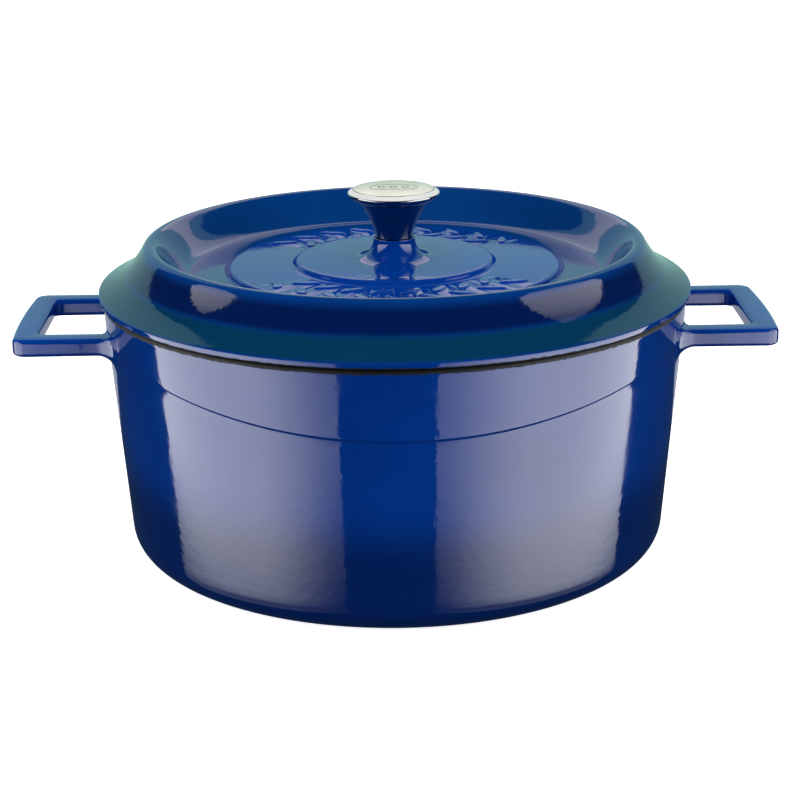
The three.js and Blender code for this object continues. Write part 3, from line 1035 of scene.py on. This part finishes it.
# %% [markdown]
# ## Metals
# The knob is turned steel, buffed to a dark mirror and lightly scratched by cloths. Its rim
# is satin, and its near-white, mostly non-metal colour is a painted highlight of the lamps.
# Its cap is brushed in one direction, so its reflection smears across the grain. The screw
# and washer are zinc plated, which is duller and a little cloudy. The spring washer is
# hardened spring steel, darkened by oil. Each metal keeps the default index of refraction:
# its colour and roughness are what tell it apart.

# %% Metal materials
SATIN_ROUGHNESS = 0.42
# painted highlight: the knob's rim bevel is made mostly non-metal and near white, standing for the
# lamps' reflection
PAINTED_HIGHLIGHT_METALLIC = 0.2
PAINTED_HIGHLIGHT_TONE = "#f2f1ef"


def make_metal(name, bright, dim, cloud_size, smoothest, roughest, scratch_size, stretch, depth):
    """A metal that varies in clouds, with fine scratches along X; where the rim attribute is 1 it is
    dull satin and near white, a painted highlight.
    """
    material, tree = new_material(name)
    place = add(tree, "ShaderNodeTexCoord").outputs["Object"]
    cloud = ramp(tree, noise(tree, place, cloud_size, 4.0), 0.3, 0.7)
    tone = blend_colours(tree, cloud, bright, dim)
    shrunk = {"Vector": place, "Scale": (1 / stretch, 1, 1)}
    drawn = add(tree, "ShaderNodeMapping", shrunk).outputs[0]
    scratches = noise(tree, drawn, scratch_size, 3.0, 0.6)
    satin_and_painted_highlight = own_number(tree, "satin_and_painted_highlight")
    gloss = ramp(tree, scratches, 0.3, 0.7, smoothest, roughest)
    roughness = add(tree, "ShaderNodeMix", {0: satin_and_painted_highlight, 2: gloss, 3: SATIN_ROUGHNESS}).outputs[0]
    # painted highlight: the rim loses most of its metal and turns near white
    metallic = ramp(tree, satin_and_painted_highlight, 0.0, 1.0, 1.0, PAINTED_HIGHLIGHT_METALLIC)
    colour = blend_colours(tree, satin_and_painted_highlight, tone, PAINTED_HIGHLIGHT_TONE)
    inputs = {
        "Base Color": colour,
        "Metallic": metallic,
        "Roughness": roughness,
        "Normal": bump(tree, scratches, depth),
    }
    finish_material(tree, inputs)
    return material


polished_steel = make_metal(
    "buffed_steel", "#8f9092", "#848587", 12, 0.03, 0.09, scratch_size=0.5, stretch=3, depth=0.0006
)
brushed_steel = make_metal(
    "brushed_steel", "#e6e4dc", "#dad8cf", 8, 0.24, 0.4, scratch_size=0.22, stretch=30, depth=0.004
)
zinc_plate = make_metal(
    "zinc_plated_steel", "#b4b6b3", "#9c9f9f", 3, 0.28, 0.42, scratch_size=0.4, stretch=1, depth=0.004
)
spring_steel = make_metal(
    "oil_darkened_spring_steel", "#5a5c5e", "#434547", 2, 0.35, 0.5,
    scratch_size=0.3, stretch=4, depth=0.004
)
metals = [polished_steel, brushed_steel, zinc_plate, spring_steel]
print("metals:", [metal.name for metal in metals])


def place_piece(piece, body, node, material, degrees=32):
    """Gives a piece its finish and its place in the frame."""
    smooth(piece, degrees)
    piece.data.materials.clear()
    piece.data.materials.append(material)
    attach(piece, body)
    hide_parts(node)


# %% [markdown]
# ## The knob and its cap
# The knob is turned from bar: a stem that opens upwards into a flat head with a bevelled
# rim. Its section runs from the threaded hole round the outside to a shallow seat, which
# the brushed cap fills. The cap has an engraved frame round three plain lozenges.

# %% Knob
KNOB_RADIUS = 22.9
NECK_RADIUS = 17.4
BEVEL = 1.9
THREAD_DEPTH = 14
CAP_THICK = 1.2
HARDWARE_SEGMENTS = 128

cap_radius = cap_high.x
cap_edge = cap_low.z + CAP_THICK
foot = knob_low.z


def knob_section():
    head = cap_edge
    toe_top = (KNOB_FOOT_RADIUS, foot + 0.7)
    neck = (NECK_RADIUS, head - 6.3)
    stem = along_curve(
        toe_top,
        (KNOB_FOOT_RADIUS + 0.6, foot + 6),
        (NECK_RADIUS - 4.8, foot + 12),
        neck,
        20,
    )
    hole_end = foot + THREAD_DEPTH
    lower = soften([(0, hole_end), (bore_radius, hole_end), (bore_radius, foot, 0.4)], 3)
    toe = soften([(bore_radius + 1, foot), (KNOB_FOOT_RADIUS, foot, 0.5), toe_top], 4)
    rim = soften(
        [
            neck,
            (NECK_RADIUS + 3.2, head - 5.2, 1.2),
            (KNOB_RADIUS, head - 2.9, 0.9),
            (KNOB_RADIUS - 0.1, head - BEVEL, 0.5),
            (cap_radius + FIT_GAP, head - 0.1, 0.3),
            (cap_radius + FIT_GAP, cap_low.z - FIT_GAP),
            (0, cap_low.z - FIT_GAP),
        ],
        6,
    )
    return lower[:-1] + toe + stem + rim


knob = turn("knob_body", knob_section(), HARDWARE_SEGMENTS)
below_edge = cap_edge - points_mm(knob)[:, 2]
# the rim bevel: satin roughness, and near white as a painted highlight
store(knob, "satin_and_painted_highlight", fade(below_edge, BEVEL + 0.15, BEVEL - 0.15))
place_piece(knob, "lid", "knob", polished_steel)
print("knob:", len(knob.data.polygons), "faces")

# %% Knob cap, with its engraving
MARK_LENGTH = 24
MARK_WIDTH = 11
LOZENGE_PITCH = 6
LOZENGE_X = 2
LOZENGE_Y = 2.8
GROOVE_WIDTH = 0.9
GROOVE_DEPTH = 0.35
cap_dome = cap_high.z - cap_edge


def cap_height(radius):
    return cap_edge + cap_dome * (1 - (radius / cap_radius) ** 2)


def make_cap():
    radii = [cap_radius * (1 - i / 12) for i in range(2, 13)]
    top = [(radius, cap_height(radius)) for radius in radii]
    corners = [(0, cap_low.z), (cap_radius, cap_low.z, 0.2), (cap_radius, cap_edge, 0.35), top[0]]
    edge = soften(corners, 4)
    return turn("knob_disc", edge + top[1:], HARDWARE_SEGMENTS)


def groove(path):
    """A closed V-shaped cutter along a path, just deep enough to engrave the cap."""
    rings = []
    count = len(path)
    for i, (x, y) in enumerate(path):
        ahead = Vector(path[(i + 1) % count]) - Vector(path[i - 1])
        side = Vector((-ahead.y, ahead.x)).normalized() * GROOVE_WIDTH / 2
        level = cap_height(math.hypot(x, y))
        left = (x - side.x, y - side.y, level + 0.1)
        right = (x + side.x, y + side.y, level + 0.1)
        rings.append([left, right, (x, y, level - GROOVE_DEPTH)])
    return loft("groove", rings, closed=True)


def mark_paths():
    """A frame with round ends, and three lozenges in it."""
    half = MARK_LENGTH / 2 - MARK_WIDTH / 2
    right = along_arc((half, 0), MARK_WIDTH / 2, -90, 90, 12)
    left = along_arc((-half, 0), MARK_WIDTH / 2, 90, 270, 12)
    paths = [right + left]
    for x in (-LOZENGE_PITCH, 0, LOZENGE_PITCH):
        lozenge = []
        corners = [(x + LOZENGE_X, 0), (x, LOZENGE_Y), (x - LOZENGE_X, 0), (x, -LOZENGE_Y)]
        for a, b in zip(corners, corners[1:] + corners[:1]):
            lozenge += [a, ((a[0] + b[0]) / 2, (a[1] + b[1]) / 2)]
        paths.append(lozenge)
    return paths


cap = make_cap()
for path in mark_paths():
    combine(cap, groove(path), "DIFFERENCE")
place_piece(cap, "lid", "knob_cap", brushed_steel, 20)
print("cap:", len(cap.data.polygons), "faces")

# %% [markdown]
# ## The hidden fastening
# Under the lid an M6 machine screw with a slotted cheese head passes through a spring
# washer and a flat washer into the knob. The thread is a turned section whose radius rises
# and falls with the angle, which winds one ridge round the shank for each millimetre.

# %% Screw
HEAD_HEIGHT = 3.6
SLOT_WIDTH = 1.4
SLOT_DEPTH = 1.8
THREAD_PITCH = 1
THREAD_HEIGHT = 0.54
THREAD_ROWS = 8

head_radius = screw_high.x


def screw_section(angle):
    head_top = screw_low.z + HEAD_HEIGHT
    tip = screw_high.z
    corners = [(0, screw_low.z), (head_radius, screw_low.z, 0.9), (head_radius, head_top)]
    head = soften(corners, 4) + [(SCREW_RADIUS, head_top)]
    smooth_shank = foot - 1
    rows = int((tip - 0.8 - smooth_shank) * THREAD_ROWS / THREAD_PITCH)
    thread = []
    for i in range(rows + 1):
        height = smooth_shank + i * THREAD_PITCH / THREAD_ROWS
        turned = (height / THREAD_PITCH - angle / (2 * math.pi)) % 1
        ridge = abs(2 * turned - 1)
        runout = min(1, i / THREAD_ROWS)
        thread.append((SCREW_RADIUS - THREAD_HEIGHT * ridge * runout, height))
    return head + thread + [(SCREW_RADIUS - THREAD_HEIGHT - 0.3, tip), (0, tip)]


def slot_cutter():
    low = screw_low.z - 1
    half = SLOT_WIDTH / 2
    reach = head_radius + 1
    level = screw_low.z + SLOT_DEPTH
    corners = [(-half, low), (half, low), (half, level), (-half, level)]
    return loft("slot", [[(x, y, z) for y, z in corners] for x in (-reach, reach)])


screw = turn("machine_screw", screw_section, 48)
combine(screw, slot_cutter(), "DIFFERENCE")
place_piece(screw, "lid_fastening", "knob_screw", zinc_plate, 40)
print("screw:", round(screw_high.z - screw_low.z, 1), "mm long")

# %% Washers


def washer_section(low, high, soft):
    corners = [
        (bore_radius, low.z, soft),
        (high.x, low.z, soft / 2),
        (high.x, high.z, soft),
        (bore_radius, high.z, soft / 2),
    ]
    return soften(corners, 3, closed=True)


flat_washer = turn("plain_washer", washer_section(washer_low, washer_high, 0.3), 96, closed=True)
place_piece(flat_washer, "lid_fastening", "flat_washer", zinc_plate)


def make_spring_washer():
    """One turn of square wire, cut and sprung a little apart at its ends."""
    gap = 0.5 / spring_high.y
    spring_rise = 0.2
    section = washer_section(spring_low, spring_high, 0.25)
    rings = []
    for i in range(73):
        t = i / 72
        angle = gap + (2 * math.pi - 2 * gap) * t
        lift = spring_rise * (t - 0.5)
        rings.append([(r * math.cos(angle), r * math.sin(angle), h + lift) for r, h in section])
    return loft("split_lock_washer", rings)


spring_washer = make_spring_washer()
place_piece(spring_washer, "lid_fastening", "spring_washer", spring_steel)
print("washers made")

# %% [markdown]
# ## The studio
# Glass shows what stands round it, so the gloss is lit by cards: glowing sheets that only
# reflections see. Two tall ones stand left and right of the camera and are brightest away
# from it, as a softbox is. A wide pale one stands far behind. A small one, close behind the
# knob, is seen by the brushed cap but hardly by the enamel. Area lights that reflections
# don't see give the soft light that shows the colour of the glass.

# %% Floor and world
FLOOR_REACH = 6000
FLOOR_LEVEL = -0.1
SQUARE = [(-1, -1), (1, -1), (1, 1), (-1, 1)]


def make_floor():
    material, tree = new_material("pale_paper_sweep")
    place = add(tree, "ShaderNodeTexCoord").outputs["Object"]
    tone = blend_colours(tree, noise(tree, place, 400, 2.0), "#fbfbfb", "#f6f6f6")
    inputs = {
        "Base Color": tone,
        "Roughness": 0.9,
        "Emission Color": linear("#ffffff"),
        "Emission Strength": 0.8,
    }
    finish_material(tree, inputs)
    spots = [(x * FLOOR_REACH, y * FLOOR_REACH, FLOOR_LEVEL) for x, y in SQUARE]
    floor = mesh_object("studio_floor", spots, [[0, 1, 2, 3]])
    floor.data.materials.append(material)
    floor.visible_glossy = False
    floor.visible_diffuse = False


def make_world():
    """White to the camera, soft to the surfaces it lights, and nearly dark to reflections."""
    world = bpy.data.worlds.new("studio_world")
    world.use_nodes = True
    tree = world.node_tree
    tree.nodes.clear()
    rays = add(tree, "ShaderNodeLightPath")
    skies = []
    for code, strength in (("#ffffff", 1.0), ("#6f8fae", 0.12), ("#ffffff", 0.25)):
        sky = add(tree, "ShaderNodeBackground", {"Color": linear(code), "Strength": strength})
        skies.append(sky.outputs[0])
    pale, dim, soft = skies
    lit = add(tree, "ShaderNodeMixShader", {0: rays.outputs["Is Diffuse Ray"], 1: dim, 2: soft})
    choice = {0: rays.outputs["Is Camera Ray"], 1: lit.outputs[0], 2: pale}
    seen = add(tree, "ShaderNodeMixShader", choice)
    add(tree, "ShaderNodeOutputWorld", {"Surface": seen.outputs[0]})
    bpy.context.scene.world = world


make_floor()
make_world()
bpy.context.scene.view_settings.view_transform = "Standard"
print("floor and world ready")

# %% Reflection cards
COOL_FOOT = "#eaf0ff"
FULL_FROM = 0.42
FOOT_FADE = (-340, -125)
LOW_FADE = (-320, -125)
HIGH_FADE = (20, 720)


def glow_material(name, colour, dim_edge, bright, fading=False):
    """Light that grows away from one edge and, where it fades, falls off above and below."""
    material, tree = new_material(name)
    level = own_number(tree, "level")
    strength = ramp(tree, own_number(tree, "along"), 0.0, FULL_FROM, dim_edge, bright)
    if fading:
        lower = ramp(tree, level, *LOW_FADE, 0.1, 1.0)
        upper = ramp(tree, level, *HIGH_FADE, 1.0, 0.12)
        strength = maths(tree, "MULTIPLY", strength, maths(tree, "MULTIPLY", lower, upper))
    tint = blend_colours(tree, ramp(tree, level, *FOOT_FADE), COOL_FOOT, colour)
    finish_material(tree, {"Color": tint, "Strength": strength}, "ShaderNodeEmission")
    material.cycles.emission_sampling = "NONE"
    return material


def make_card(name, corners, material, steps=8):
    """A glowing sheet only reflections see. Corners: inner low and high, outer low and high."""
    inner_low, inner_high, outer_low, outer_high = [Vector(c) for c in corners]
    spots = []
    along = []
    for i in range(steps + 1):
        low = inner_low.lerp(outer_low, i / steps)
        high = inner_high.lerp(outer_high, i / steps)
        for k in range(steps + 1):
            spots.append(low.lerp(high, k / steps))
            along.append(i / steps)
    faces = []
    row = steps + 1
    for i in range(steps):
        for k in range(steps):
            first = i * row + k
            faces.append([first, first + 1, first + row + 1, first + row])
    card = mesh_object(name, spots, faces)
    store(card, "along", along)
    store(card, "level", [p.z for p in spots])
    card.data.materials.append(material)
    card.visible_camera = False
    card.visible_diffuse = False
    card.visible_shadow = False
    card.visible_transmission = False


def upright(inner, outer, low, inner_top, outer_top):
    return [(*inner, low), (*inner, inner_top), (*outer, low), (*outer, outer_top)]


SIDE_GLOW = glow_material("softbox_glow", "#fdfcfb", 1.7, 5.4, fading=True)
BACK_GLOW = glow_material("backdrop_glow", "#bdf5ea", 0.65, 0.65)
KNOB_GLOW = glow_material("knob_card_glow", "#fffaf4", 1.4, 1.4)
make_card("left_card", upright((-225, -590), (-680, 91), -520, 60, 650), SIDE_GLOW)
make_card("right_card", upright((140, -590), (662, 95), -520, 30, 900), SIDE_GLOW)
make_card("back_card", upright((-1800, 1600), (1800, 1600), -500, 2400, 2400), BACK_GLOW)
make_card("knob_card", upright((-150, 320), (150, 320), 268, 470, 470), KNOB_GLOW)
print("cards placed")

# %% Soft lights
SOFT_POWER = 14


def make_light(name, place, size):
    data = bpy.data.lights.new(name, "AREA")
    data.shape = "RECTANGLE"
    data.size = size[0] * MM
    data.size_y = size[1] * MM
    data.energy = SOFT_POWER
    light = bpy.data.objects.new(name, data)
    bpy.context.scene.collection.objects.link(light)
    aim = Vector((0, 0, 60)) - Vector(place)
    turn_to = aim.to_track_quat("-Z", "Y").to_matrix().to_4x4()
    light.matrix_world = Matrix.Translation(Vector(place) * MM) @ turn_to
    light.visible_glossy = False


make_light("left_soft_light", (-1300, -1100, 900), (1000, 1300))
make_light("right_soft_light", (1300, -1100, 900), (1000, 1300))
make_light("top_soft_light", (0, 200, 1700), (1600, 1400))
print("lights placed")
